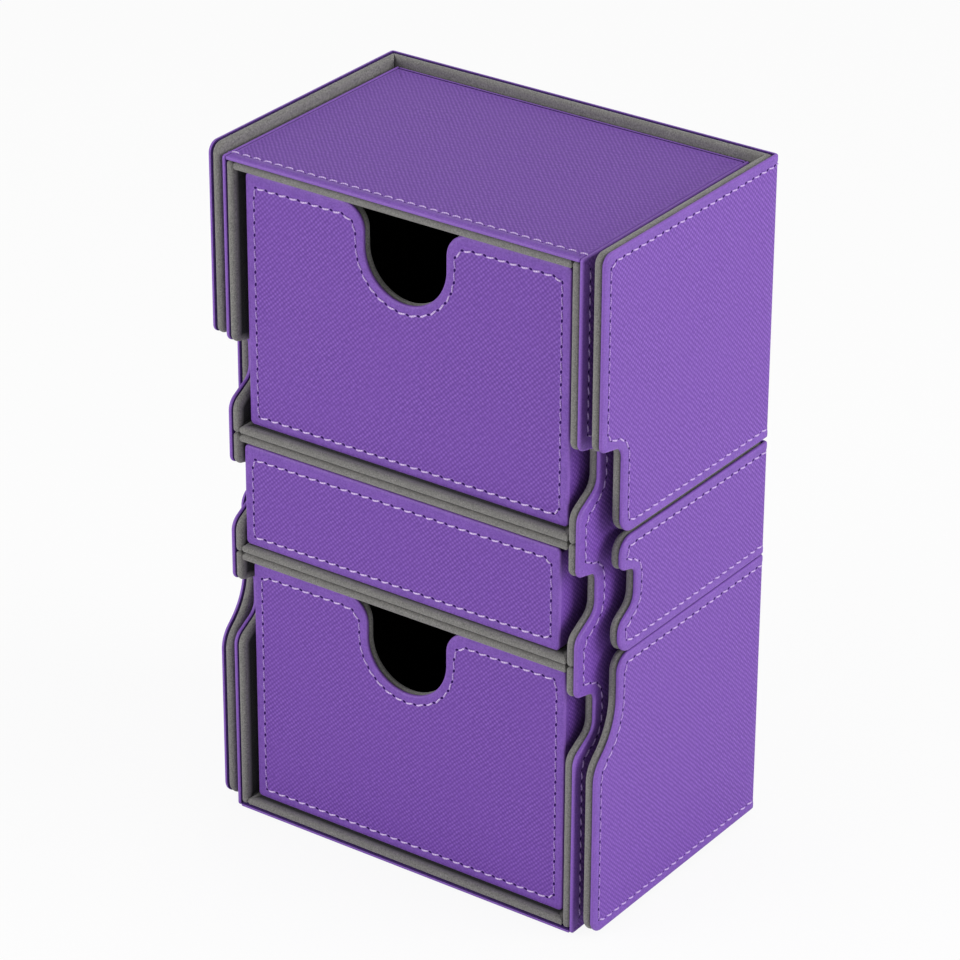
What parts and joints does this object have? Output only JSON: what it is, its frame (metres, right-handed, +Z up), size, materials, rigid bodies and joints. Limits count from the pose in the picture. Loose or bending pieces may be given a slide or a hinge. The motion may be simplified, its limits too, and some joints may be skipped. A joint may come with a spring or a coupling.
{
  "type": "trading card drawer box",
  "caption": "Leather-covered card box with felt-lined bays, slide-out drawers with thumb notches and U-shaped covers that pull off backwards.",
  "frame": {"origin": "bottom centre of the whole box, on the surface it stands on", "axes": "+Z up, -Y towards the drawers' fronts, +X to the right as seen from the front"},
  "size_m": [0.1152, 0.0746, 0.1848],
  "materials": {
    "leather": "satin purple leatherette with a fine diagonal grain",
    "felt": "matt grey microfibre felt",
    "board": "raw grey board",
    "magnet": "nickel plated"
  },
  "bodies": {
    "case": {"case_back_lining": "felt", "case_back_skin": "leather", "case_bottom_skin": "leather", "case_left_skin": "leather", "case_magnets": "magnet", "case_right_skin": "leather", "case_top_skin": "leather", "lower_bay_ceiling_lining": "felt", "lower_bay_floor_lining": "felt", "lower_bay_left_lining": "felt", "lower_bay_right_lining": "felt", "middle_bay_ceiling_lining": "felt", "middle_bay_floor_lining": "felt", "middle_bay_left_lining": "felt", "middle_bay_right_lining": "felt", "upper_bay_ceiling_lining": "felt", "upper_bay_floor_lining": "felt", "upper_bay_left_lining": "felt", "upper_bay_right_lining": "felt"},
    "upper_drawer": {"upper_drawer_back_wall": "leather", "upper_drawer_floor": "leather", "upper_drawer_front_board": "board", "upper_drawer_front_lining": "felt", "upper_drawer_front_skin": "leather", "upper_drawer_left_wall": "leather", "upper_drawer_right_wall": "leather"},
    "upper_cover": {"upper_cover_back_lining": "felt", "upper_cover_left_lining": "felt", "upper_cover_magnets": "magnet", "upper_cover_right_lining": "felt", "upper_cover_skin": "leather"},
    "middle_drawer": {"middle_drawer_back_wall": "leather", "middle_drawer_floor": "leather", "middle_drawer_front_board": "board", "middle_drawer_front_lining": "felt", "middle_drawer_front_skin": "leather", "middle_drawer_left_wall": "leather", "middle_drawer_right_wall": "leather"},
    "middle_cover": {"middle_cover_back_lining": "felt", "middle_cover_left_lining": "felt", "middle_cover_magnets": "magnet", "middle_cover_right_lining": "felt", "middle_cover_skin": "leather"},
    "lower_drawer": {"lower_drawer_back_wall": "leather", "lower_drawer_floor": "leather", "lower_drawer_front_board": "board", "lower_drawer_front_lining": "felt", "lower_drawer_front_skin": "leather", "lower_drawer_left_wall": "leather", "lower_drawer_right_wall": "leather"},
    "lower_cover": {"lower_cover_back_lining": "felt", "lower_cover_left_lining": "felt", "lower_cover_magnets": "magnet", "lower_cover_right_lining": "felt", "lower_cover_skin": "leather"}
  },
  "joints": [
    {"name": "upper_drawer_slide", "type": "slide", "parent": "case", "child": "upper_drawer", "axis": [0, -1, 0], "range_m": [0, 0.068]},
    {"name": "middle_drawer_slide", "type": "slide", "parent": "case", "child": "middle_drawer", "axis": [0, -1, 0], "range_m": [0, 0.068]},
    {"name": "lower_drawer_slide", "type": "slide", "parent": "case", "child": "lower_drawer", "axis": [0, -1, 0], "range_m": [0, 0.068]},
    {"name": "upper_cover_slide", "type": "slide", "parent": "case", "child": "upper_cover", "axis": [0, 1, 0], "range_m": [0, 0.076]},
    {"name": "middle_cover_slide", "type": "slide", "parent": "case", "child": "middle_cover", "axis": [0, 1, 0], "range_m": [0, 0.076]},
    {"name": "lower_cover_slide", "type": "slide", "parent": "case", "child": "lower_cover", "axis": [0, 1, 0], "range_m": [0, 0.076]}
  ]
}
